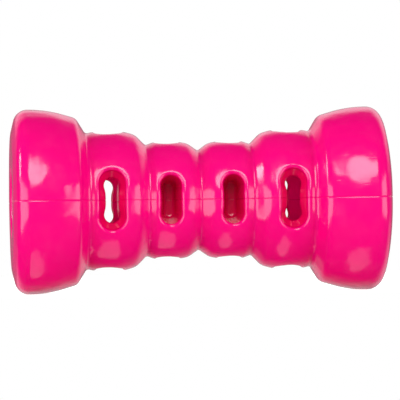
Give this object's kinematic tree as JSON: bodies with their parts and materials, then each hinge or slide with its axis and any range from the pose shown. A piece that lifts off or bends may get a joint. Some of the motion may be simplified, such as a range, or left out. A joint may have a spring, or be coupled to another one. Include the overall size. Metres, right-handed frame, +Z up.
{
  "type": "rubber chew toy",
  "caption": "Spool-shaped rubber dog chew toy with fat rounded end flanges, a ringed waist with oblong slots, and treat chambers open at both ends.",
  "frame": {"origin": "middle of the toy, on its long axis and in the plane of the seam", "axes": "+X along the toy's long axis, from the left flange to the right; +Z up, square to the seam; -Y is the front that the picture shows"},
  "size_m": [0.15, 0.074, 0.074],
  "materials": {
    "pink_rubber": "glossy, slightly translucent thermoplastic rubber"
  },
  "bodies": {
    "root": {"upper_half_shell": "pink_rubber", "lower_half_shell": "pink_rubber"}
  },
  "joints": []
}
